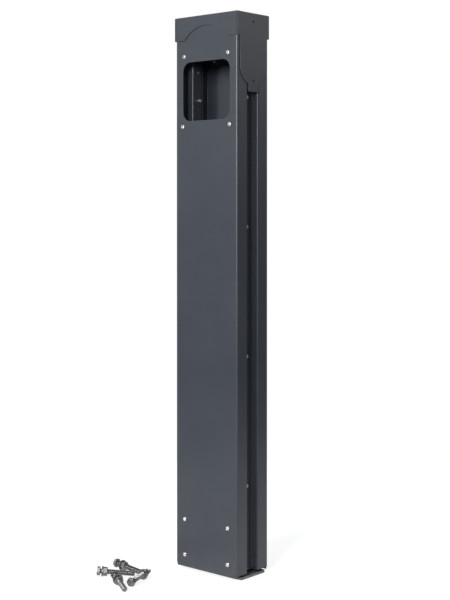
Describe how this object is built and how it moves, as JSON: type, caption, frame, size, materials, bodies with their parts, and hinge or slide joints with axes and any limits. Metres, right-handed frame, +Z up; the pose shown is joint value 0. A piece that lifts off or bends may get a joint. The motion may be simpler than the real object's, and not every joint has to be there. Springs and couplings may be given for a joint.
{
  "type": "ev charging post",
  "caption": "Tall narrow two-shell sheet metal charging post with a window near the top, side grooves, an arched lift-off cap and an inset base plate.",
  "frame": {"origin": "on the ground, under the base plate, at the centre of the foundation hole pattern and of the two shells", "axes": "+Z up along the post, +X to the right of a person who faces the charger window, +Y to the rear"},
  "size_m": [0.2903, 0.3401, 1.3],
  "materials": {
    "anthracite_coat": "satin anthracite powder coat",
    "foot_coat": "satin powder coat on welded steel",
    "zinc_plated": "zinc plated",
    "stainless": "stainless steel",
    "dark_screws": "dark coated",
    "rubber": "matt"
  },
  "bodies": {
    "post": {"base_plate": "foot_coat", "blanking_plate_clinch_nuts": "zinc_plated", "blanking_plate_screws": "stainless", "cable_bush": "rubber", "cable_clamp_rail": "zinc_plated", "cable_clamps": "zinc_plated", "cap_rail_rivets": "zinc_plated", "charger_clinch_nuts": "zinc_plated", "charger_screws": "stainless", "earth_nut": "zinc_plated", "earth_stud": "zinc_plated", "earth_washers": "zinc_plated", "foundation_bolts": "stainless", "foundation_nuts": "stainless", "foundation_washers": "stainless", "front_base_screws": "stainless", "front_base_weld_nuts": "zinc_plated", "front_shell": "anthracite_coat", "front_upright": "foot_coat", "left_cap_rail": "zinc_plated", "left_foot_web": "foot_coat", "left_groove_nuts": "zinc_plated", "left_groove_screws": "stainless", "rear_base_screws": "stainless", "rear_base_weld_nuts": "zinc_plated", "rear_blanking_plate": "anthracite_coat", "rear_shell": "anthracite_coat", "rear_upright": "foot_coat", "right_cap_rail": "zinc_plated", "right_foot_web": "foot_coat", "right_groove_nuts": "zinc_plated", "right_groove_screws": "stainless"},
    "cap": {"cap": "anthracite_coat", "cap_screws": "dark_screws", "cap_slide_nuts": "zinc_plated"}
  },
  "joints": [
    {"name": "cap_lift", "type": "slide", "parent": "post", "child": "cap", "axis": [0, 0, 1], "range_m": [0, 0.185]}
  ]
}
